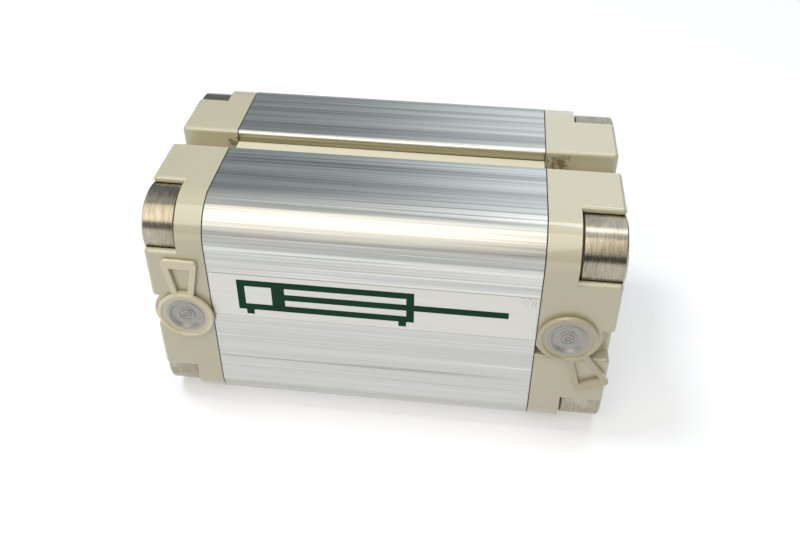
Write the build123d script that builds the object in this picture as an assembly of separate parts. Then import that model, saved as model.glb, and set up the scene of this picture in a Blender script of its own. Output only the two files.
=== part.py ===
from build123d import *
import os

# Compact double-acting pneumatic cylinder: a square extruded barrel between two moulded covers,
# held together by eight hollow collar screws. All sizes are in millimetres.
# X runs along the rod, from the rear mounting face at X = 0 towards the rod end.
# The air ports face -Y and +Z is up.

# Overall form
bore = 50.0
stroke = 75.0
barrel_wall = 9.0
corner_radius = 11.0
seam_chamfer = 0.15

# Covers
rear_cover_length = 16.0
front_cover_length = 19.5
rear_flange = 7.1
front_flange = 8.3
corner_cut = 13.4
arm_edge_radius = 1.2
end_edge_radius = 1.1
recess_depth = 5.3
recess_clearance = 0.3

# T-slots of the barrel, and the notches in line with them in the covers
slot_mouth = 7.6
slot_lip = 3.5
slot_cavity = 11.0
slot_depth = 6.0
slot_edge_radius = 1.3
slot_cover_drop = 3.3
slot_cover_gap = 0.2
slot_cover_flange = 1.2
slot_cover_play = 0.1

# Port side of the covers
port_core = 8.8
port_overrun = 1.5
rear_port_setback = 7.1
front_port_setback = 7.9
rear_port_height = 0.0
front_port_height = 2.8
port_boss_radius = 8.7
port_notch_width = 9.6
port_notch_depth = 3.8

# Collar screws
bolt_inset = 10.75
collar_diameter = 19.0
collar_chamfer = 0.4
collar_relief = 0.8
collar_pocket_gap = 0.15
shank_diameter = 10.0
shank_reach = 14.0
shank_clearance = 0.05
mounting_thread_core = 6.8
screw_key = 6.0

# Piston, its seals, ring and magnet
nose_length = 2.4
nose_step = 4.0
land_width = 0.8
land_clearance = 0.2
piston_seal_width = 2.6
piston_seal_depth = 3.6
seal_lip = 0.9
seal_lip_flare = 0.3
seal_lip_clearance = 0.05
groove_side_play = 0.1
groove_floor_play = 0.3
guide_ring_width = 3.0
guide_ring_depth = 1.6
guide_ring_slit = 1.0
magnet_width = 3.0
magnet_rim = 1.9
magnet_wall = 4.5
magnet_play = 0.05

# Rod and what holds the piston on it
rod_diameter = 16.0
rod_protrusion = 6.0
rod_chamfer = 1.0
rod_flats = 13.0
rod_flats_length = 5.0
rod_thread_core = 8.5
rod_thread_depth = 16.0
drill_point = 2.0
spigot_diameter = 12.0
spigot_clearance = 0.02
clamp_wall = 2.4
piston_screw_diameter = 8.0
piston_screw_length = 12.0
piston_screw_play = 0.05
piston_screw_head_diameter = 13.0
piston_screw_head = 5.0
piston_screw_chamfer = 0.5
piston_screw_key = 6.0
piston_screw_key_depth = 3.0
screw_pocket_gap = 1.5
hub_seal_section = 1.6

# Bearing, seals and bumpers in the covers
bush_wall = 2.5
bush_clearance = 0.03
rod_seal_width = 4.8
rod_seal_wall = 4.0
rod_seal_inset = 0.7
rod_seal_waist = 0.8
rod_seal_clearance = 0.05
joint_seal_section = 1.6
bumper_thickness = 1.9
bumper_inset = 3.0
bumper_width = 8.0
bumper_relief_width = 3.0
bumper_relief_depth = 0.9
end_gap = 0.3

# Dust plugs of the ports
plug_radius = 7.65
plug_rim_radius = 0.65
plug_standoff = 0.3
plug_web = 0.8
plug_dish = 0.5
plug_dish_slope = 0.6
plug_stem_length = 7.0
plug_stem_wall = 0.9
plug_stem_clearance = 0.05
plug_stem_taper = 0.4
plug_stem_lead = 1.2
plug_inner_ring_radius = 2.1
plug_ring_bead = 0.3
tab_reach = 18.6
tab_root_width = 5.7
tab_end_width = 9.8
tab_leg = 1.6
tab_bar = 2.5
tab_thickness = 1.0
tab_corner_radius = 1.2
rear_tab_angle = 89.0
front_tab_angle = -64.0

# Sizes across that follow from the ones above
side = bore + 2 * barrel_wall
half_side = side / 2
bolt_spacing = side - 2 * bolt_inset
bore_radius = bore / 2
rod_radius = rod_diameter / 2
spigot_radius = spigot_diameter / 2
hub_radius = spigot_radius + spigot_clearance
land_radius = bore_radius - land_clearance
nose_radius = bore_radius - nose_step
recess_radius = bore_radius + recess_clearance
seal_floor_radius = bore_radius - piston_seal_depth
guide_floor_radius = bore_radius - guide_ring_depth
magnet_outer_radius = guide_floor_radius - magnet_rim
magnet_inner_radius = magnet_outer_radius - magnet_wall
bumper_outer_radius = bore_radius - bumper_inset
bumper_inner_radius = bumper_outer_radius - bumper_width
port_depth = half_side - recess_radius + port_overrun

# Places along the rod
piston_length = 2 * (nose_length + 2 * land_width + piston_seal_width) + guide_ring_width
piston_inset = recess_depth - bumper_thickness - end_gap
barrel_length = stroke + piston_length - 2 * piston_inset
barrel_start = rear_cover_length
barrel_end = barrel_start + barrel_length
front_face = barrel_end + front_cover_length
rod_end = front_face + rod_protrusion
piston_start = barrel_start - piston_inset
piston_end = piston_start + piston_length
piston_middle = piston_start + piston_length / 2
first_land = piston_start + nose_length
seal_groove_start = first_land + land_width
seal_groove_end = seal_groove_start + piston_seal_width
guide_groove_start = seal_groove_end + land_width
rod_seal_seat = front_cover_length - rod_seal_inset - rod_seal_width
bush_length = rod_seal_seat - recess_depth


def along_x(sketch, start, length):
    """The sketch, drawn with Y across and Z up, run along +X from start."""
    return extrude(Plane.YZ.offset(start) * sketch, length)


def turned(points):
    """A solid of revolution about X from (x, radius) pairs."""
    return revolve(Plane.XZ * make_face(Polyline(*points, close=True)), Axis.X)


def ring(start, length, inner_radius, outer_radius):
    return along_x(Circle(outer_radius) - Circle(inner_radius), start, length)


def o_ring(centre_x, centre_radius, section):
    return revolve(Plane.XZ * Pos(centre_x, centre_radius) * Circle(section / 2), Axis.X)


def four_bolts(shape):
    """The shape, drawn on the X axis, moved to each of the four corner screws."""
    place = bolt_spacing / 2
    return [Pos(0, y, z) * shape for y in (-place, place) for z in (-place, place)]


def mouth(width, depth, edge_radius):
    """Section of a groove in the top face, with rounded lips."""
    groove = Pos(0, half_side - depth / 2) * Rectangle(width, depth)
    flare = Pos(0, half_side - edge_radius / 2) * Rectangle(width + 2 * edge_radius, edge_radius)
    for way in (-1, 1):
        flare -= Pos(way * (width / 2 + edge_radius), half_side - edge_radius) * Circle(edge_radius)
    return groove + flare


def t_slot():
    """Section of the sensor slot in the top face."""
    cavity_height = slot_depth - slot_lip
    cavity = Pos(0, half_side - slot_lip - cavity_height / 2) * Rectangle(slot_cavity, cavity_height)
    return mouth(slot_mouth, slot_depth, slot_edge_radius) + cavity


def barrel():
    """Extruded tube with four corner holes and T-slots in its top, rear and bottom faces."""
    section = RectangleRounded(side, side, corner_radius) - Circle(bore_radius)
    section -= GridLocations(bolt_spacing, bolt_spacing, 2, 2) * Circle(shank_diameter / 2)
    for turn in (0, -90, 180):
        section -= Rot(0, 0, turn) * t_slot()
    tube = along_x(section, barrel_start, barrel_length)
    rims = [edge for end in tube.faces().filter_by(Axis.X) for edge in end.outer_wire().edges()]
    return chamfer(rims, seam_chamfer)


def slot_cover():
    """Plastic strip in the top T-slot: its web shows in the mouth, its flange sits under the lips."""
    flange_top = half_side - slot_lip - slot_cover_gap
    web_top = half_side - slot_cover_drop
    web_height = web_top - flange_top + slot_cover_flange
    web = Pos(0, web_top - web_height / 2) * Rectangle(slot_mouth - 2 * slot_cover_gap, web_height)
    flange = Rectangle(slot_cavity - 2 * slot_cover_gap, slot_cover_flange)
    flange = Pos(0, flange_top - slot_cover_flange / 2) * flange
    return along_x(web + flange, barrel_start + slot_cover_play, barrel_length - 2 * slot_cover_play)


def cover_blank(length, flange, port_setback, port_height):
    """What both covers share, drawn from the joint face at X = 0 outwards along +X."""
    full = RectangleRounded(side, side, corner_radius)
    envelope = along_x(full, 0, length)
    for turn in (0, -90, 180):
        full -= Rot(0, 0, turn) * mouth(slot_mouth, slot_depth, arm_edge_radius)
    full -= Rot(0, 0, 90) * mouth(port_notch_width, port_notch_depth, arm_edge_radius)
    arm = side - 2 * corner_cut
    cross = RectangleRounded(side, arm, arm_edge_radius) + RectangleRounded(arm, side, arm_edge_radius)
    arms = along_x(full & cross, 0, length)
    arms = fillet(arms.faces().sort_by(Axis.X)[-1].edges(), end_edge_radius)
    plate = along_x(full, 0, flange)
    plate = chamfer(plate.faces().sort_by(Axis.X)[0].edges(), seam_chamfer)
    blank = arms + plate

    port_face = Plane(origin=(port_setback, -half_side, port_height), x_dir=(1, 0, 0), z_dir=(0, -1, 0))
    boss = extrude(port_face * Circle(port_boss_radius), -(port_notch_depth + arm_edge_radius))
    blank += boss & envelope
    blank -= extrude(port_face * Circle(port_core / 2), -port_depth)

    for pocket in four_bolts(along_x(Circle(collar_diameter / 2 + collar_pocket_gap), flange, length)):
        blank -= pocket
    for hole in four_bolts(along_x(Circle(shank_diameter / 2 + shank_clearance), 0, flange)):
        blank -= hole
    blank -= along_x(Circle(recess_radius), 0, recess_depth)
    return blank - along_x(Circle(recess_radius + joint_seal_section), 0, joint_seal_section)


def rear_cover():
    """Blind cover with a pocket for the head of the piston screw."""
    blank = cover_blank(rear_cover_length, rear_flange, rear_port_setback, rear_port_height)
    pocket_depth = piston_inset + piston_screw_head + screw_pocket_gap
    blank -= along_x(Circle(piston_screw_head_diameter / 2 + screw_pocket_gap), 0, pocket_depth)
    return Pos(barrel_start, 0, 0) * mirror(blank, Plane.YZ)


def front_cover():
    """Cover with stepped bores for the rod bush and the rod seal."""
    blank = cover_blank(front_cover_length, front_flange, front_port_setback, front_port_height)
    blank -= along_x(Circle(rod_radius + bush_wall), 0, rod_seal_seat)
    blank -= along_x(Circle(rod_radius + rod_seal_wall), rod_seal_seat, front_cover_length - rod_seal_seat)
    return Pos(barrel_end, 0, 0) * blank


def collar_screw(flange, cover_length):
    """Hollow screw on the X axis: its collar ends flush with the cover, its shank is in the barrel."""
    collar_radius = collar_diameter / 2
    collar = turned([
        (flange, mounting_thread_core / 2), (flange, collar_radius - collar_relief),
        (flange + collar_relief, collar_radius), (cover_length - collar_chamfer, collar_radius),
        (cover_length, collar_radius - collar_chamfer), (cover_length, mounting_thread_core / 2),
    ])
    shank = Circle(shank_diameter / 2 - shank_clearance)
    shank -= RegularPolygon(screw_key / 2, 6, major_radius=False)
    return collar + along_x(shank, -shank_reach, shank_reach + flange)


def rear_collar_screws():
    screw = mirror(collar_screw(rear_flange, rear_cover_length), Plane.YZ)
    return Compound(children=four_bolts(Pos(barrel_start, 0, 0) * screw))


def front_collar_screws():
    screw = collar_screw(front_flange, front_cover_length)
    return Compound(children=four_bolts(Pos(barrel_end, 0, 0) * screw))


def joint_seal(joint_x, way):
    """O-ring in the corner between a cover's recess and the end of the barrel."""
    centre_radius = recess_radius + joint_seal_section / 2
    return o_ring(joint_x + way * joint_seal_section / 2, centre_radius, joint_seal_section)


def bumper(back, way):
    """Rubber ring stuck to a cover's recess floor, with relief grooves across its free face."""
    start = min(back, back + way * bumper_thickness)
    body = ring(start, bumper_thickness, bumper_inner_radius, bumper_outer_radius)
    relief_start = start if way < 0 else start + bumper_thickness - bumper_relief_depth
    for turn in (45, 135):
        bar = Rot(0, 0, turn) * Rectangle(3 * bumper_outer_radius, bumper_relief_width)
        body -= along_x(bar, relief_start, bumper_relief_depth)
    return body


def rod_bush():
    return ring(barrel_end + recess_depth, bush_length, rod_radius + bush_clearance, rod_radius + bush_wall)


def rod_seal():
    """Lip seal and wiper in one ring: a lip at each end and a waist between them."""
    start = barrel_end + rod_seal_seat
    end = start + rod_seal_width
    outer = rod_radius + rod_seal_wall
    lip = rod_radius + rod_seal_clearance
    waist = lip + rod_seal_waist
    inner_edge = [
        (end, waist), (end - rod_seal_waist, lip), (end - 2 * rod_seal_waist, waist),
        (start + 2 * rod_seal_waist, waist), (start + rod_seal_waist, lip), (start, waist),
    ]
    return turned([(start, outer), (end, outer)] + inner_edge)


def piston_half(hub_edge):
    """The rear half's outline, from its nose to the joint at the middle; hub_edge closes it."""
    magnet_floor = piston_middle - magnet_width / 2 - magnet_play
    magnet_top = magnet_outer_radius + magnet_play
    magnet_bottom = magnet_inner_radius - magnet_play
    outline = [
        (piston_start, nose_radius), (first_land, nose_radius),
        (first_land, land_radius), (seal_groove_start, land_radius),
        (seal_groove_start, seal_floor_radius), (seal_groove_end, seal_floor_radius),
        (seal_groove_end, land_radius), (guide_groove_start, land_radius),
        (guide_groove_start, guide_floor_radius), (piston_middle, guide_floor_radius),
        (piston_middle, magnet_top), (magnet_floor, magnet_top),
        (magnet_floor, magnet_bottom), (piston_middle, magnet_bottom),
    ]
    return turned(outline + hub_edge)


def piston_rear_half():
    """Half with the wall that the piston screw clamps against the end of the rod."""
    screw_hole = piston_screw_diameter / 2 + piston_screw_play
    wall_end = piston_start + clamp_wall
    return piston_half([
        (piston_middle, hub_radius), (wall_end, hub_radius),
        (wall_end, screw_hole), (piston_start, screw_hole),
    ])


def piston_front_half():
    """Half that sits against the rod's shoulder, with the hub seal's groove at the joint."""
    groove_radius = hub_radius + hub_seal_section
    groove_end = piston_middle - hub_seal_section
    half = piston_half([
        (piston_middle, groove_radius), (groove_end, groove_radius),
        (groove_end, hub_radius), (piston_start, hub_radius),
    ])
    return mirror(half, Plane.YZ.offset(piston_middle))


def hub_seal():
    return o_ring(piston_middle + hub_seal_section / 2, hub_radius + hub_seal_section / 2, hub_seal_section)


def piston_magnet():
    return ring(piston_middle - magnet_width / 2, magnet_width, magnet_inner_radius, magnet_outer_radius)


def piston_rear_seal():
    """Lip seal whose two lips open towards the rear chamber."""
    heel = seal_groove_end - groove_side_play
    tip = seal_groove_start + groove_side_play
    floor = seal_floor_radius + groove_floor_play
    lip = bore_radius - seal_lip_clearance
    throat = ((heel + tip) / 2, (floor + lip) / 2)
    return turned([
        (heel, floor), (heel, lip - seal_lip_flare), (throat[0], lip - seal_lip_flare),
        (tip, lip), (tip, lip - seal_lip), throat, (tip, floor + seal_lip), (tip, floor),
    ])


def piston_front_seal():
    return mirror(piston_rear_seal(), Plane.YZ.offset(piston_middle))


def guide_ring():
    """Split sliding ring that keeps the piston off the bore."""
    start = guide_groove_start + groove_side_play
    length = guide_ring_width - 2 * groove_side_play
    body = ring(start, length, guide_floor_radius + groove_floor_play, bore_radius - seal_lip_clearance)
    slit = Pos(0, bore_radius) * Rectangle(guide_ring_slit, 2 * guide_ring_depth)
    return body - along_x(slit, start, length)


def piston_rod():
    """Ground rod with a spigot for the piston, and an inner thread and wrench flats at its free end."""
    spigot_start = piston_start + clamp_wall
    screw_radius = piston_screw_diameter / 2
    screw_end = piston_start + piston_screw_length
    thread_radius = rod_thread_core / 2
    thread_end = rod_end - rod_thread_depth
    rod = turned([
        (screw_end + drill_point, 0), (screw_end, screw_radius), (spigot_start, screw_radius),
        (spigot_start, spigot_radius), (piston_end, spigot_radius), (piston_end, rod_radius),
        (rod_end - rod_chamfer, rod_radius), (rod_end, rod_radius - rod_chamfer),
        (rod_end, thread_radius), (thread_end, thread_radius), (thread_end - drill_point, 0),
    ])
    outside_flats = Circle(rod_diameter) - Rectangle(2 * rod_diameter, rod_flats)
    return rod - along_x(outside_flats, rod_end - rod_flats_length, rod_flats_length)


def piston_screw():
    """Socket head screw from the rear chamber into the end of the rod."""
    head_start = piston_start - piston_screw_head
    head_radius = piston_screw_head_diameter / 2
    shank_radius = piston_screw_diameter / 2 - piston_screw_play
    screw_end = piston_start + piston_screw_length
    screw = turned([
        (head_start, 0), (head_start, head_radius - piston_screw_chamfer),
        (head_start + piston_screw_chamfer, head_radius), (piston_start, head_radius),
        (piston_start, shank_radius), (screw_end, shank_radius), (screw_end, 0),
    ])
    socket = RegularPolygon(piston_screw_key / 2, 6, major_radius=False)
    return screw - along_x(socket, head_start, piston_screw_key_depth)


def pull_tab(angle):
    """Open trapezoid that a finger pulls, in the plane of the plug's disc."""
    root = plug_radius - plug_rim_radius
    slope = (tab_end_width - tab_root_width) / 2 / (tab_reach - root)
    tab = Polygon(
        (root, -tab_root_width / 2), (tab_reach, -tab_end_width / 2),
        (tab_reach, tab_end_width / 2), (root, tab_root_width / 2), align=None,
    )
    tab = fillet(tab.vertices().group_by(Axis.X)[-1], tab_corner_radius)
    near = plug_radius + plug_rim_radius / 2
    far = tab_reach - tab_bar
    near_half = tab_root_width / 2 + slope * (near - root) - tab_leg
    far_half = tab_root_width / 2 + slope * (far - root) - tab_leg
    tab -= Polygon((near, -near_half), (far, -far_half), (far, far_half), (near, near_half), align=None)
    return Pos(0, 0, plug_standoff) * Rot(0, 0, angle) * extrude(tab, tab_thickness)


def bead(radius, height, section_radius):
    """A round bead about the plug's axis."""
    return revolve(Plane.XZ * Pos(radius, height) * Circle(section_radius), Axis.Z)


def port_plug(port_x, port_height, tab_angle):
    """Dished disc with a rolled rim, a hollow stem in the port and a pull tab."""
    stem_radius = port_core / 2 - plug_stem_clearance
    stem_inner = stem_radius - plug_stem_wall
    web_top = plug_standoff + plug_web
    dish_floor = web_top - plug_dish
    web_radius = plug_radius - plug_rim_radius
    profile = Polyline(
        (0, dish_floor - plug_web), (stem_inner, dish_floor - plug_web), (stem_inner, -plug_stem_length),
        (stem_radius - plug_stem_taper, -plug_stem_length), (stem_radius, plug_stem_lead - plug_stem_length),
        (stem_radius, plug_standoff), (web_radius, plug_standoff), (web_radius, web_top),
        (stem_radius, web_top), (stem_radius - plug_dish_slope, dish_floor), (0, dish_floor), close=True,
    )
    plug = revolve(Plane.XZ * make_face(profile), Axis.Z)
    plug += bead(web_radius, plug_standoff + plug_rim_radius, plug_rim_radius)
    plug += bead(stem_radius + plug_ring_bead, web_top, plug_ring_bead)
    plug += bead(plug_inner_ring_radius, dish_floor, plug_ring_bead)
    plug += pull_tab(tab_angle)
    seat = Plane(origin=(port_x, -half_side, port_height), x_dir=(1, 0, 0), z_dir=(0, -1, 0))
    return seat * plug


pieces = {
    "barrel": barrel(),
    "slot_cover": slot_cover(),
    "rear_cover": rear_cover(),
    "front_cover": front_cover(),
    "rear_collar_screws": rear_collar_screws(),
    "front_collar_screws": front_collar_screws(),
    "rear_joint_seal": joint_seal(barrel_start, -1),
    "front_joint_seal": joint_seal(barrel_end, 1),
    "rear_bumper": bumper(barrel_start - recess_depth, 1),
    "front_bumper": bumper(barrel_end + recess_depth, -1),
    "rod_bush": rod_bush(),
    "rod_seal": rod_seal(),
    "piston_rear_half": piston_rear_half(),
    "piston_front_half": piston_front_half(),
    "piston_magnet": piston_magnet(),
    "piston_rear_seal": piston_rear_seal(),
    "piston_front_seal": piston_front_seal(),
    "guide_ring": guide_ring(),
    "hub_seal": hub_seal(),
    "piston_screw": piston_screw(),
    "piston_rod": piston_rod(),
    "rear_port_plug": port_plug(barrel_start - rear_port_setback, rear_port_height, rear_tab_angle),
    "front_port_plug": port_plug(barrel_end + front_port_setback, front_port_height, front_tab_angle),
}

os.makedirs("parts", exist_ok=True)
for name, piece in pieces.items():
    export_step(piece, f"parts/{name}.step")
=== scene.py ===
import math

import bmesh
import bpy
from mathutils import Matrix, Vector


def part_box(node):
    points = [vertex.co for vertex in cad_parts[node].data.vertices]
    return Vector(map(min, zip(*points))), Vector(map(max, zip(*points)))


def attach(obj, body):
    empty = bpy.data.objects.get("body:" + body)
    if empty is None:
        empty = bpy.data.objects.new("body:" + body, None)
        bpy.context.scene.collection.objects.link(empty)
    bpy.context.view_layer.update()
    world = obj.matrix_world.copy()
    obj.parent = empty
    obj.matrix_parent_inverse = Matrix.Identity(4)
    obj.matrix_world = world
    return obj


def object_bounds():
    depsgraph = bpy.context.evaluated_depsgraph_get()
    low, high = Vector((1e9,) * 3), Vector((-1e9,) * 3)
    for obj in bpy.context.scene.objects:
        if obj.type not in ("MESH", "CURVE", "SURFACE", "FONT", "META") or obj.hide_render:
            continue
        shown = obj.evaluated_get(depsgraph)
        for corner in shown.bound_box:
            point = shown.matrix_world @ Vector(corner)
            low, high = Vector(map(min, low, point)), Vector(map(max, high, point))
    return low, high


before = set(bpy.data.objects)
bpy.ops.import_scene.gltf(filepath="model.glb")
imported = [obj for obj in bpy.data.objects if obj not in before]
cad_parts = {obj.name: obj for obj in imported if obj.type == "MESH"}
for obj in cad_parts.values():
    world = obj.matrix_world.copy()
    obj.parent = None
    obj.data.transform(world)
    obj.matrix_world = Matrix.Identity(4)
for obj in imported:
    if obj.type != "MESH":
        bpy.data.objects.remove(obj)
cad_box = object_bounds()


# Barrel: an aluminium extrusion, square outside and round inside, matt clear anodised.
# The die leaves fine lines along its whole length, and the cut ends meet the covers in a
# shallow groove, painted dark as grime and painted shade in the groove.

MM = 0.001
SLOT_WALL = 7.0 * MM
LIP_HEIGHT = 0.5 * MM
LIP_FOOT = 1.6 * MM
JOINT_DARK_EDGE = 0.22 * MM
JOINT_DARK_FULL = 0.08 * MM
RELIEF_DEPTH = 0.02 * MM

# The colour sockets of a mix node, where each kind of value has sockets of its own.
FIRST_COLOUR = 6
SECOND_COLOUR = 7
MIXED_COLOUR = 2


def linear(hex_colour):
    """An sRGB hex colour as the linear colour that a shader takes."""
    channels = [int(hex_colour[place:place + 2], 16) / 255 for place in (1, 3, 5)]
    return [c / 12.92 if c <= 0.04045 else ((c + 0.055) / 1.055) ** 2.4 for c in channels] + [1.0]


def add_node(tree, kind, settings=None, links=None):
    """A new node: settings are its properties or the values of its inputs, links feed its inputs."""
    node = tree.nodes.new("ShaderNode" + kind)
    for name, value in (settings or {}).items():
        if isinstance(name, str) and hasattr(node, name):
            setattr(node, name, value)
        else:
            node.inputs[name].default_value = value
    for name, source in (links or {}).items():
        tree.links.new(source, node.inputs[name])
    return node


def calculate(tree, operation, *values):
    """One step of arithmetic on numbers and the outputs of nodes."""
    node = add_node(tree, "Math", {"operation": operation})
    for socket, value in zip(node.inputs, values):
        if isinstance(value, (int, float)):
            socket.default_value = value
        else:
            tree.links.new(value, socket)
    return node.outputs[0]


def spread(tree, value, from_min, from_max, to_min=0.0, to_max=1.0):
    """The value, with the first range stretched onto the second and held at its ends."""
    ends = {"From Min": from_min, "From Max": from_max, "To Min": to_min, "To Max": to_max}
    return add_node(tree, "MapRange", ends, {"Value": value}).outputs[0]


def blend(tree, share, first, second):
    """A colour between two others, each a hex colour or the output of a node."""
    mix = add_node(tree, "Mix", {"data_type": "RGBA"}, {0: share})
    for place, colour in ((FIRST_COLOUR, first), (SECOND_COLOUR, second)):
        if isinstance(colour, str):
            mix.inputs[place].default_value = linear(colour)
        else:
            tree.links.new(colour, mix.inputs[place])
    return mix.outputs[MIXED_COLOUR]


def noise(tree, place, grains, detail=2.0, roughness=0.5, shift=(0, 0, 0)):
    """Noise with so many grains to a metre: one number, or one each along X, Y and Z."""
    scale = grains if isinstance(grains, tuple) else (grains, grains, grains)
    grain_place = add_node(tree, "Mapping", {"Scale": scale, "Location": shift}, {"Vector": place})
    settings = {"Scale": 1.0, "Detail": detail, "Roughness": roughness}
    return add_node(tree, "TexNoise", settings, {"Vector": grain_place.outputs[0]}).outputs[0]


def emboss(tree, surface, height, strength):
    """Fine relief in the finish."""
    relief = add_node(tree, "Bump", {"Strength": strength, "Distance": RELIEF_DEPTH}, {"Height": height})
    tree.links.new(relief.outputs[0], surface.inputs["Normal"])


def grain_along_x(tree, surface):
    """Highlights stretched by fine lines that all lie to the X axis in the same way."""
    along_x = add_node(tree, "CombineXYZ", {"X": 1.0})
    tree.links.new(along_x.outputs[0], surface.inputs["Tangent"])


def start_material(name, surface_values):
    """A material with these values on its surface shader, and Object coordinates to draw on."""
    made = bpy.data.materials.new(name)
    made.use_nodes = True
    tree = made.node_tree
    surface = tree.nodes["Principled BSDF"]
    for socket, value in surface_values.items():
        surface.inputs[socket].default_value = value
    place = add_node(tree, "TexCoord").outputs["Object"]
    return made, tree, surface, place


def dress(material, *nodes):
    """Gives each of these nodes the material."""
    for node in nodes:
        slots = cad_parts[node].data.materials
        slots.clear()
        slots.append(material)


barrel_low, barrel_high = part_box("barrel")
half_length = (barrel_high.x - barrel_low.x) / 2


def joint_grime_and_shade(tree, x, side):
    """How dark the joints with the covers are painted, as grime and painted shade, on the barrel (side
    -1) or on the covers (1).
    """
    off_middle = calculate(tree, "SUBTRACT", x, barrel_low.x + half_length)
    off_middle = calculate(tree, "ABSOLUTE", off_middle)
    return spread(tree, off_middle, half_length + side * JOINT_DARK_EDGE, half_length + side * JOINT_DARK_FULL)


anodised_aluminium, tree, surface, place = start_material("anodised_aluminium", {
    "Metallic": 1.0, "Anisotropic": 0.5, "Anisotropic Rotation": 0.25,
})
sides = add_node(tree, "SeparateXYZ", {}, {0: place}).outputs
# Die lines 0.4 mm apart, drawn that coarse because the real 0.1 mm ones don't show.
die_lines = noise(tree, place, (7, 2500, 2500), 4.0, 0.65)
# Bands about 3 mm wide, where the die is worn.
bands = calculate(tree, "MULTIPLY", noise(tree, place, (4, 330, 330)), 0.4)
streaks = calculate(tree, "MULTIPLY_ADD", die_lines, 0.6, bands)
streaks = spread(tree, streaks, 0.4, 0.6, -0.5, 0.5)
# The lines stand out most on the top, and the lower front is rubbed smoother.
line_strength = spread(tree, sides["Z"], -4 * MM, 24 * MM, 0.35)
tone = calculate(tree, "MULTIPLY_ADD", streaks, line_strength, 0.5)
metal = blend(tree, tone, "#ACADAB", "#E3E3DD")
# Sparse drag marks, dark and a quarter of a millimetre wide.
drag_marks = noise(tree, place, (5, 900, 900), 1.0, shift=(3, 7, 5))
metal = blend(tree, spread(tree, drag_marks, 0.66, 0.72, 0.0, 0.6), metal, "#868886")
# Bright hairline scratches, as sparse and thin.
scratches = noise(tree, place, (9, 1200, 1200), 1.0, shift=(11, 2, 9))
metal = blend(tree, spread(tree, scratches, 0.67, 0.73, 0.0, 0.7), metal, "#F0F0EA")
# Dust lies on the walls of the top slot, under its rounded lips.
off_middle = calculate(tree, "ABSOLUTE", sides["Y"])
in_slot = spread(tree, off_middle, SLOT_WALL + 0.5 * MM, SLOT_WALL)
under_lip = spread(tree, sides["Z"], barrel_high.z - LIP_HEIGHT, barrel_high.z - LIP_FOOT, 0.0, 0.8)
slot_dust = calculate(tree, "MULTIPLY", in_slot, under_lip)
metal = blend(tree, slot_dust, metal, blend(tree, tone, "#7E7454", "#D2C9A6"))
# The joint groove on the barrel is painted dark, as grime and painted shade.
metal = blend(tree, joint_grime_and_shade(tree, sides["X"], -1), metal, "#3B352B")
tree.links.new(metal, surface.inputs["Base Color"])
tree.links.new(spread(tree, die_lines, 0.3, 0.7, 0.3, 0.4), surface.inputs["Roughness"])
emboss(tree, surface, die_lines, 0.3)
grain_along_x(tree, surface)
dress(anodised_aluminium, "barrel")


# Label: a strip of clear self-adhesive film along the whole front of the barrel, cut square and
# rubbed down by hand. Its edges have picked up brown dust. It carries the plain circuit sign for a
# double-acting cylinder, printed in green.

LABEL_LOW = 0.5 * MM
LABEL_HIGH = 15.0 * MM
LABEL_INSET = 0.5 * MM
DUSTY_EDGE = 0.22 * MM
CORNER_INSET = 2 * MM
STAIN_REACH = 5 * MM
FILM = 0.05 * MM
INK = 0.02 * MM


def make_object(shape, name, material):
    """The finished shape as an object of one material."""
    mesh = bpy.data.meshes.new(name)
    shape.to_mesh(mesh)
    shape.free()
    mesh.materials.append(material)
    made = bpy.data.objects.new(name, mesh)
    bpy.context.scene.collection.objects.link(made)
    return made


def flat_strip(shape, low_x, high_x, low_z, high_z):
    """A rectangle facing the front, added to the mesh."""
    corners = [(low_x, low_z), (high_x, low_z), (high_x, high_z), (low_x, high_z)]
    return shape.faces.new([shape.verts.new((x, 0, z)) for x, z in corners])


def printed_piece(shape, name, back_y, thickness, material):
    """Gives a flat shape its thickness towards the front and puts it on the barrel."""
    bmesh.ops.recalc_face_normals(shape, faces=shape.faces)
    raised = bmesh.ops.extrude_face_region(shape, geom=list(shape.faces))
    front = [item for item in raised["geom"] if isinstance(item, bmesh.types.BMVert)]
    bmesh.ops.translate(shape, verts=front, vec=(0, -thickness, 0))
    bmesh.ops.translate(shape, verts=shape.verts, vec=(0, back_y, 0))
    bmesh.ops.recalc_face_normals(shape, faces=shape.faces)
    piece = make_object(shape, name, material)
    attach(piece, "housing")


clear_film, tree, surface, place = start_material("clear_polyester_film", {
    "Roughness": 0.4, "Metallic": 0.75, "Coat Weight": 0.4, "Coat Roughness": 0.3,
})
clouds = noise(tree, place, (40, 40, 700), 3.0)
film = blend(tree, clouds, "#D2D2CB", "#DEDED7")
sides = add_node(tree, "SeparateXYZ", {}, {0: place}).outputs
off_middle = calculate(tree, "SUBTRACT", sides["Z"], (LABEL_LOW + LABEL_HIGH) / 2)
off_middle = calculate(tree, "ABSOLUTE", off_middle)
half_height = (LABEL_HIGH - LABEL_LOW) / 2
dust = spread(tree, off_middle, half_height - DUSTY_EDGE, half_height, 0.0, 0.75)
film = blend(tree, dust, film, "#7F7052")
# Brown dust has crept under the film at its upper front corner.
label_corner = (barrel_high.x - CORNER_INSET, barrel_low.y, LABEL_HIGH)
from_corner = add_node(tree, "VectorMath", {"operation": "DISTANCE", 1: label_corner}, {0: place})
crept = spread(tree, from_corner.outputs["Value"], STAIN_REACH, 0.5 * MM)
stain_spots = spread(tree, noise(tree, place, 1700, 4.0), 0.5, 0.62, 0.0, 0.6)
stain = calculate(tree, "MULTIPLY", stain_spots, crept)
film = blend(tree, stain, film, "#8C7B58")
tree.links.new(film, surface.inputs["Base Color"])

film_shape = bmesh.new()
flat_strip(film_shape, barrel_low.x + LABEL_INSET, barrel_high.x - LABEL_INSET, LABEL_LOW, LABEL_HIGH)
printed_piece(film_shape, "label_film", barrel_low.y, FILM, clear_film)

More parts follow.
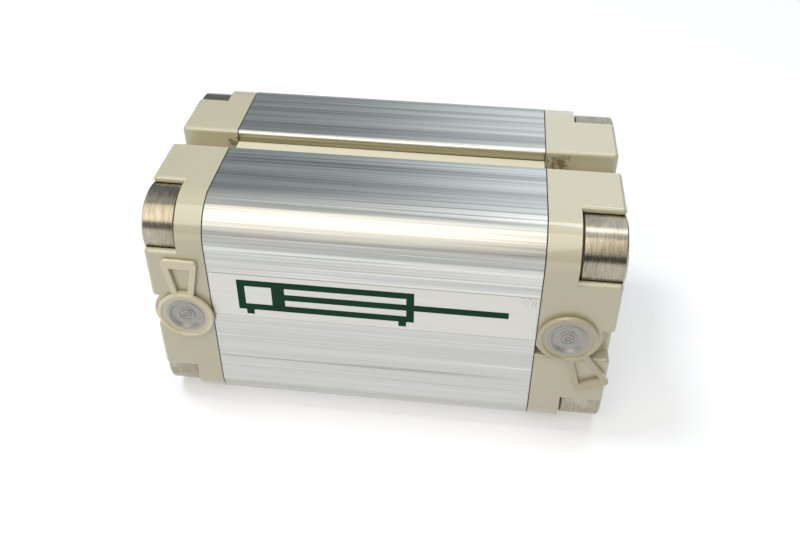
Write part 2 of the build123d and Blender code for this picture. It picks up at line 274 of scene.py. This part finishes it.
green_ink, tree, surface, place = start_material("green_screen_ink", {
    "Roughness": 0.5, "IOR": 1.5, "Specular IOR Level": 0.1,
})
ink = blend(tree, noise(tree, place, 900), "#0F3521", "#15422B")
tree.links.new(ink, surface.inputs["Base Color"])

SIGN_LEFT = barrel_low.x + 7.5 * MM
BODY_LENGTH = 46 * MM
SIGN_LOW = 3.2 * MM
SIGN_HIGH = 13.2 * MM
SIGN_LINE = 2.0 * MM
PISTON_PLACE = 9 * MM
PISTON_WIDTH = 3.4 * MM
ROD_REACH = 24 * MM
PORT_TICK = 1.6 * MM
body_right = SIGN_LEFT + BODY_LENGTH
piston_right = SIGN_LEFT + PISTON_PLACE + PISTON_WIDTH
rod_middle = (SIGN_LOW + SIGN_HIGH) / 2
rod_low = rod_middle - SIGN_LINE / 2
rod_high = rod_middle + SIGN_LINE / 2

sign = bmesh.new()
body = flat_strip(sign, SIGN_LEFT, body_right, SIGN_LOW, SIGN_HIGH)
sign.normal_update()
bmesh.ops.inset_region(sign, faces=[body], thickness=SIGN_LINE, use_boundary=True, use_even_offset=True)
bmesh.ops.delete(sign, geom=[body], context="FACES_ONLY")
flat_strip(sign, piston_right - PISTON_WIDTH, piston_right, SIGN_LOW + SIGN_LINE, SIGN_HIGH - SIGN_LINE)
flat_strip(sign, piston_right, body_right - SIGN_LINE, rod_low, rod_high)
flat_strip(sign, body_right, body_right + ROD_REACH, rod_low, rod_high)
for tick_left in (SIGN_LEFT + SIGN_LINE, body_right - 2 * SIGN_LINE):
    flat_strip(sign, tick_left, tick_left + SIGN_LINE, SIGN_LOW - PORT_TICK, SIGN_LOW)
printed_piece(sign, "cylinder_sign", barrel_low.y - FILM, INK, green_ink)


# Slot strip: an extruded ivory plastic strip pressed into the barrel's top slot, satin from the
# die, with faint lines along it.

ivory_plastic, tree, surface, place = start_material("extruded_ivory_plastic", {
    "Roughness": 0.4, "IOR": 1.5,
})
strip_lines = noise(tree, place, (25, 800, 800), 3.0)
strip = blend(tree, strip_lines, "#D9D2B8", "#E6E0C9")
tree.links.new(strip, surface.inputs["Base Color"])
dress(ivory_plastic, "slot_cover")


# Covers: glass-filled nylon mouldings in cream, with the soft gloss of a polished mould and
# rounded arms. Brown dust sits in the slot notches beside the barrel and along the joints.

NOTCH_WALL = 3.8 * MM
DIRT_HEIGHT = 30 * MM
FRONT_DIRT_X = 105 * MM
REAR_DIRT_X = 14.5 * MM

cream_nylon, tree, surface, place = start_material("moulded_cream_nylon", {
    "IOR": 1.5, "Coat Weight": 1.0, "Coat Roughness": 0.06, "Coat IOR": 1.6,
})
sides = add_node(tree, "SeparateXYZ", {}, {0: place}).outputs
mottle = noise(tree, place, 70, 4.0)
cream = blend(tree, mottle, "#C1BA9E", "#CAC3A9")
# The joint groove on the covers is painted dark, as grime and painted shade.
cream = blend(tree, joint_grime_and_shade(tree, sides["X"], 1), cream, "#3F372A")
# Brown specks, about 0.4 mm across, on the wall of each top notch where it meets the barrel.
dirt_grain = noise(tree, place, 1000, 6.0, 0.8)
below_edge = spread(tree, sides["Z"], 33.6 * MM, 32.4 * MM, 0.0, 0.9)
for spot_x, reach in ((FRONT_DIRT_X, 7 * MM), (REAR_DIRT_X, 4 * MM)):
    spot = (spot_x, NOTCH_WALL, DIRT_HEIGHT)
    away = add_node(tree, "VectorMath", {"operation": "DISTANCE", 1: spot}, {0: place}).outputs["Value"]
    near = spread(tree, away, reach, 0.0, -0.16, 0.14)
    specks = spread(tree, calculate(tree, "ADD", near, dirt_grain), 0.5, 0.6)
    specks = calculate(tree, "MULTIPLY", specks, below_edge)
    cream = blend(tree, specks, cream, "#6B5836")
tree.links.new(cream, surface.inputs["Base Color"])
tree.links.new(spread(tree, mottle, 0.3, 0.7, 0.28, 0.38), surface.inputs["Roughness"])
emboss(tree, surface, noise(tree, place, 1500), 0.1)
dress(cream_nylon, "rear_cover", "front_cover")


# Collar screws: steel turned on a lathe and plated, so that fine rings run round each collar and
# across its end. Each is tapped from its end for a mounting screw.

SCREW_SPACING = 46.5 * MM
CREVICE_EDGE = 1.7 * MM
CREVICE_DEEP = 2.5 * MM
COLLAR_CORE = 3.4 * MM
COLLAR_PITCH = 1.25 * MM
REAR_TAPPED = 8.9 * MM
FRONT_TAPPED = 11.2 * MM
THREAD_LEAD = 0.6 * MM
THREAD_ROOT = 0.05 * MM
THREAD_HEIGHT = 0.3
THREAD_STEPS = 32


def tapped_thread(name, low_x, high_x, axes, core_radius, pitch, material, body):
    """Right-hand thread ridges on the walls of bores along X, one round each of the axes."""
    shape = bmesh.new()
    wall = core_radius + THREAD_ROOT
    crest = core_radius - THREAD_HEIGHT * pitch
    steps = round(THREAD_STEPS * ((high_x - low_x) / pitch - 1))
    for y, z in axes:
        profile = [(low_x, wall), (low_x + pitch / 2, crest), (low_x + pitch, wall)]
        ridge = shape.faces.new([shape.verts.new((x, y, z + radius)) for x, radius in profile])
        bmesh.ops.spin(shape, geom=[ridge], cent=(low_x, y, z), axis=(1, 0, 0), steps=steps,
                       angle=2 * math.pi * steps / THREAD_STEPS, dvec=(pitch / THREAD_STEPS, 0, 0))
    bmesh.ops.recalc_face_normals(shape, faces=shape.faces)
    piece = make_object(shape, name, material)
    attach(piece, body)


turned_steel, tree, surface, place = start_material("turned_plated_steel", {
    "Metallic": 1.0, "Anisotropic": 0.5,
})
# Places are measured from each screw's own axis, also outwards from the middle of the cylinder.
sides = add_node(tree, "SeparateXYZ", {}, {0: place}).outputs
from_axis = []
outwards = []
for side in ("Y", "Z"):
    way_out = calculate(tree, "SIGN", sides[side])
    offset = calculate(tree, "MULTIPLY_ADD", way_out, -SCREW_SPACING / 2, sides[side])
    from_axis.append(offset)
    outwards.append(calculate(tree, "MULTIPLY", offset, way_out))
# The tool's rings run round the side and across the end: 0.25 mm apart, coarser than real ones.
across = add_node(tree, "CombineXYZ", {}, {1: from_axis[0], 2: from_axis[1]}).outputs[0]
radius = add_node(tree, "VectorMath", {"operation": "LENGTH"}, {0: across}).outputs["Value"]
tool_path = calculate(tree, "ADD", sides["X"], radius)
tool_path = add_node(tree, "CombineXYZ", {}, {0: tool_path, 1: from_axis[0], 2: from_axis[1]}).outputs[0]
rings = noise(tree, tool_path, (4200, 220, 220), 4.0, 0.7)
patches = noise(tree, place, 160, 3.0)
shade = calculate(tree, "MULTIPLY_ADD", patches, 0.4, rings)
steel = blend(tree, spread(tree, shade, 0.5, 0.9), "#867D6C", "#C0B9A8")
# Painted shade: the collars are painted dark in the crevices where each goes under the arms of its cover.
inner_side = calculate(tree, "MINIMUM", *outwards)
painted_crevice_shade = spread(tree, inner_side, -CREVICE_EDGE, -CREVICE_DEEP, 0.0, 0.85)
facing = add_node(tree, "SeparateXYZ", {}, {0: add_node(tree, "NewGeometry").outputs["Normal"]})
facing = calculate(tree, "ABSOLUTE", facing.outputs["X"])
painted_crevice_shade = calculate(tree, "MULTIPLY", painted_crevice_shade, spread(tree, facing, 0.5, 0.3))
steel = blend(tree, painted_crevice_shade, steel, "#2A261F")
tree.links.new(steel, surface.inputs["Base Color"])
tree.links.new(spread(tree, rings, 0.3, 0.7, 0.2, 0.3), surface.inputs["Roughness"])
emboss(tree, surface, rings, 0.35)
grain_along_x(tree, surface)
dress(turned_steel, "rear_collar_screws", "front_collar_screws", "piston_screw")

half_spacing = SCREW_SPACING / 2
screw_axes = [(y, z) for y in (-half_spacing, half_spacing) for z in (-half_spacing, half_spacing)]
rear_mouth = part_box("rear_collar_screws")[0].x
front_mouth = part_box("front_collar_screws")[1].x
tapped_thread("rear_collar_threads", rear_mouth + THREAD_LEAD, rear_mouth + REAR_TAPPED,
              screw_axes, COLLAR_CORE, COLLAR_PITCH, turned_steel, "housing")
tapped_thread("front_collar_threads", front_mouth - FRONT_TAPPED, front_mouth - THREAD_LEAD,
              screw_axes, COLLAR_CORE, COLLAR_PITCH, turned_steel, "housing")


# Port plugs: soft polyethylene mouldings that keep dust out of the air ports. The thin disc lets
# some light through, has yellowed at its rim and has a small raised ring and a dot in its middle.

REAR_PORT = (8.9 * MM, 0.0)
FRONT_PORT = (108.9 * MM, 2.8 * MM)
DISC_CENTRE = 4.6 * MM
DISC_RIM = 6.4 * MM
DISC_FLOOR = barrel_low.y - 0.6 * MM
SPRUE_RADIUS = 1.1 * MM
SPRUE_BEAD = 0.35 * MM
SPRUE_DOT = 0.4 * MM

# Each plug gets its own copy of the material: the front plug's rim is painted darker than the rear one's,
# as painted shade.
for plug, (port_x, port_z), rim_tone_with_painted_light in (("rear_port_plug", REAR_PORT, "#EADFC2"),
                                           ("front_port_plug", FRONT_PORT, "#C8BD9F")):
    polyethylene_with_painted_light, tree, surface, place = start_material("polyethylene_with_painted_light_" + plug, {
        "Roughness": 0.3, "IOR": 1.5, "Transmission Weight": 0.15, "Subsurface Weight": 0.2,
        "Subsurface Scale": 0.8 * MM, "Coat Weight": 0.9, "Coat Roughness": 0.1,
    })
    to_port = {"Location": (-port_x, 0, -port_z), "Scale": (1, 0, 1)}
    from_port = add_node(tree, "Mapping", to_port, {"Vector": place}).outputs[0]
    radius = add_node(tree, "VectorMath", {"operation": "LENGTH"}, {0: from_port}).outputs["Value"]
    # Painted shade: the middle of the disc is painted grey for the dark port seen through it.
    centre_painted_shade = blend(tree, noise(tree, place, 300, 3.0), "#A9A9A6", "#C2C1BB")
    wax_and_painted_light = blend(tree, spread(tree, radius, DISC_CENTRE, DISC_RIM), centre_painted_shade, rim_tone_with_painted_light)
    tree.links.new(wax_and_painted_light, surface.inputs["Base Color"])
    dress(polyethylene_with_painted_light, plug)

    sprue = bmesh.new()
    middle = Vector((port_x, DISC_FLOOR, port_z))
    ring_side = middle + Vector((SPRUE_RADIUS, 0, 0))
    bmesh.ops.create_circle(sprue, segments=12, radius=SPRUE_BEAD, matrix=Matrix.Translation(ring_side))
    bmesh.ops.spin(sprue, geom=sprue.edges[:], cent=middle, axis=(0, 1, 0), angle=2 * math.pi,
                   steps=40, use_merge=True)
    bmesh.ops.create_uvsphere(sprue, u_segments=20, v_segments=10, radius=SPRUE_DOT,
                              matrix=Matrix.Translation(middle))
    bmesh.ops.recalc_face_normals(sprue, faces=sprue.faces)
    sprue_rings = make_object(sprue, plug + "_sprue", polyethylene_with_painted_light)
    sprue_rings.data.shade_smooth()
    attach(sprue_rings, plug.replace("_port", ""))


# Piston rod: steel, ground and hard chromed, nearly a mirror with faint grinding rings. Its end is
# tapped for whatever it moves.

ROD_CORE = 4.25 * MM
ROD_PITCH = 1.5 * MM
ROD_TAPPED = 15 * MM
ROD_LEAD = 1.2 * MM

hard_chrome, tree, surface, place = start_material("ground_hard_chrome", {"Metallic": 1.0})
rings = noise(tree, place, (3000, 60, 60))
chrome = blend(tree, rings, "#D5D7D9", "#E3E5E6")
tree.links.new(chrome, surface.inputs["Base Color"])
tree.links.new(spread(tree, rings, 0.0, 1.0, 0.08, 0.16), surface.inputs["Roughness"])
dress(hard_chrome, "piston_rod")

rod_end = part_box("piston_rod")[1].x
tapped_thread("rod_end_thread", rod_end - ROD_TAPPED, rod_end - ROD_LEAD, [(0, 0)], ROD_CORE, ROD_PITCH,
              hard_chrome, "rod")


# Rubber pieces: nitrile rubber, pressed in a mould, dull black with a slight bloom.

nitrile_rubber, tree, surface, place = start_material("moulded_nitrile_rubber", {"IOR": 1.52})
bloom = noise(tree, place, 260, 4.0)
rubber = blend(tree, bloom, "#1C1C1B", "#2B2A28")
tree.links.new(rubber, surface.inputs["Base Color"])
tree.links.new(spread(tree, bloom, 0.0, 1.0, 0.45, 0.65), surface.inputs["Roughness"])
dress(nitrile_rubber, "rod_seal", "rear_joint_seal", "front_joint_seal", "rear_bumper", "front_bumper",
      "piston_rear_seal", "piston_front_seal", "hub_seal")


# Rod bush: sintered bronze, full of fine pores that hold oil.

sintered_bronze, tree, surface, place = start_material("sintered_bronze", {
    "Metallic": 1.0, "Roughness": 0.45,
})
pores = add_node(tree, "TexVoronoi", {"Scale": 2500.0}, {"Vector": place}).outputs[0]
bronze = blend(tree, pores, "#6E5332", "#A9824F")
tree.links.new(bronze, surface.inputs["Base Color"])
dress(sintered_bronze, "rod_bush")


# Piston: two turned aluminium halves, with tool marks round them.

turned_aluminium, tree, surface, place = start_material("turned_aluminium", {"Metallic": 1.0})
rings = noise(tree, place, (2200, 80, 80), 3.0)
piston = blend(tree, rings, "#C3C5C6", "#DCDDDD")
tree.links.new(piston, surface.inputs["Base Color"])
tree.links.new(spread(tree, rings, 0.0, 1.0, 0.22, 0.38), surface.inputs["Roughness"])
dress(turned_aluminium, "piston_rear_half", "piston_front_half")


# Magnet and guide ring: the magnet is plastic filled with ferrite powder, and the ring is a
# bronze-filled sliding plastic cut from strip.

filled_plastic, tree, surface, place = start_material("filled_plastic", {"Roughness": 0.55, "IOR": 1.45})
powder = noise(tree, place, 1800, 3.0)
filled = blend(tree, powder, "#2E2A27", "#4A423B")
tree.links.new(filled, surface.inputs["Base Color"])
dress(filled_plastic, "piston_magnet", "guide_ring")


# Studio: a plain white floor in a pale room. A wide window-like lamp stands in front and to the
# left, a small one hangs on the right and a soft one high on the left. The left of the room is
# grey all round, and the right is dark in front and bright overhead and behind.

FLOOR_RADIUS = 4.0
FLOOR_LIFT = 0.39

white_floor, tree, surface, place = start_material("white_floor", {
    "Base Color": linear("#D4D4D7"), "Roughness": 0.8, "Specular IOR Level": 0.0,
    "Emission Color": linear("#FFFFFF"),
})
# Seen directly, mirrored or through the plugs, the floor is lifted to the white of a backdrop.
rays = add_node(tree, "LightPath").outputs
seen = calculate(tree, "MAXIMUM", rays["Is Camera Ray"], rays["Is Glossy Ray"])
seen = calculate(tree, "MAXIMUM", seen, rays["Is Transmission Ray"])
tree.links.new(calculate(tree, "MULTIPLY", seen, FLOOR_LIFT), surface.inputs["Emission Strength"])

floor_shape = bmesh.new()
bmesh.ops.create_circle(floor_shape, cap_ends=True, segments=64, radius=FLOOR_RADIUS,
                        matrix=Matrix.Translation((barrel_low.x, 0, cad_box[0][2])))
floor = make_object(floor_shape, "floor", white_floor)

room = bpy.data.worlds.new("room")
room.use_nodes = True
bpy.context.scene.world = room
tree = room.node_tree
background = tree.nodes["Background"]
way = add_node(tree, "SeparateXYZ", {}, {0: add_node(tree, "TexCoord").outputs["Generated"]}).outputs
to_front = calculate(tree, "MULTIPLY", way["Y"], -1.0)
height = calculate(tree, "ARCTAN2", way["Z"], to_front)


def room_side(*walls):
    """The room's colour from the front horizon over the ceiling to the back, by degrees of height."""
    ramp = add_node(tree, "ValToRGB", {}, {"Fac": spread(tree, height, 0.0, math.pi)})
    ramp.color_ramp.elements.remove(ramp.color_ramp.elements[1])
    for step, (degrees, hex_colour) in enumerate(walls):
        stop = ramp.color_ramp.elements[0] if step == 0 else ramp.color_ramp.elements.new(degrees / 180)
        stop.color = linear(hex_colour)
    return ramp.outputs["Color"]


left_room = room_side((0, "#6E6E6B"), (22, "#777672"), (45, "#7F7D77"), (75, "#93928C"), (92, "#B9BCBD"),
                      (105, "#939A9E"), (120, "#7B8288"), (148, "#6D747A"), (180, "#727980"))
right_room = room_side((0, "#232221"), (14, "#282726"), (36, "#504E4B"), (62, "#767571"), (76, "#D0D5D7"),
                       (90, "#F2F8FC"), (115, "#F0F7FB"), (148, "#DDE5EB"), (180, "#CDD6DD"))
walls = blend(tree, spread(tree, way["X"], -0.14, 0.08), left_room, right_room)
tree.links.new(walls, background.inputs["Color"])
# The room is darker at both ends, most of all on the right, where the shadow falls.
right_end = spread(tree, way["X"], 0.18, 0.45, 1.45, 0.35)
left_end = spread(tree, way["X"], -0.45, -0.8, 1.0, 0.7)
tree.links.new(calculate(tree, "MULTIPLY", right_end, left_end), background.inputs["Strength"])


def soft_lamp(name, stands_at, size, power, hex_colour):
    """A rectangular lamp, in metres and watts, that faces the object and isn't seen itself."""
    light = bpy.data.lights.new(name, "AREA")
    light.shape = "RECTANGLE"
    light.size, light.size_y = size
    light.energy = power
    light.color = linear(hex_colour)[:3]
    lamp = bpy.data.objects.new(name, light)
    lamp.location = stands_at
    towards_object = Vector((barrel_low.x, 0, 0)) - Vector(stands_at)
    lamp.rotation_euler = towards_object.to_track_quat("-Z", "Y").to_euler()
    lamp.visible_camera = False
    bpy.context.scene.collection.objects.link(lamp)
    return lamp


soft_lamp("front_window", (-0.15, -0.81, 0.90), (0.88, 1.16), 7.5, "#FFF9EC")
soft_lamp("right_window", (0.32, 0.15, 1.2), (0.3, 0.25), 0.95, "#F4F9FF")
side_lamp = soft_lamp("side_lamp", (-0.38, 0.0, 1.1), (0.3, 0.3), 5.4, "#F4F8FF")
side_lamp.visible_glossy = False


# Camera: above the front and a little to the right, looking down along a turned head, with a
# small upward shift that keeps the object in the middle of the frame.

CAMERA_PLACE = Vector((84.27, -197.87, 163.55)) * MM
CAMERA_TURN = -0.1125
CAMERA_TILT = 0.6176
CAMERA_ROLL = 0.0043
FOCAL_PIXELS = 879.85
SENSOR_WIDTH = 36
FRAME_WIDTH = 800
OPTICAL_CENTRE = 185
FRAME_MIDDLE = 266.5

camera_data = bpy.data.cameras.new("camera")
camera_data.sensor_width = SENSOR_WIDTH
camera_data.lens = SENSOR_WIDTH * FOCAL_PIXELS / FRAME_WIDTH
camera_data.shift_y = (OPTICAL_CENTRE - FRAME_MIDDLE) / FRAME_WIDTH
camera_data.clip_start = 0.01
camera = bpy.data.objects.new("camera", camera_data)
aim = Matrix.Rotation(-CAMERA_TURN, 4, "Z") @ Matrix.Rotation(math.pi / 2 - CAMERA_TILT, 4, "X")
camera.matrix_world = Matrix.Translation(CAMERA_PLACE) @ aim @ Matrix.Rotation(CAMERA_ROLL, 4, "Z")
bpy.context.scene.collection.objects.link(camera)
bpy.context.scene.camera = camera
bpy.context.scene.view_settings.view_transform = "Standard"
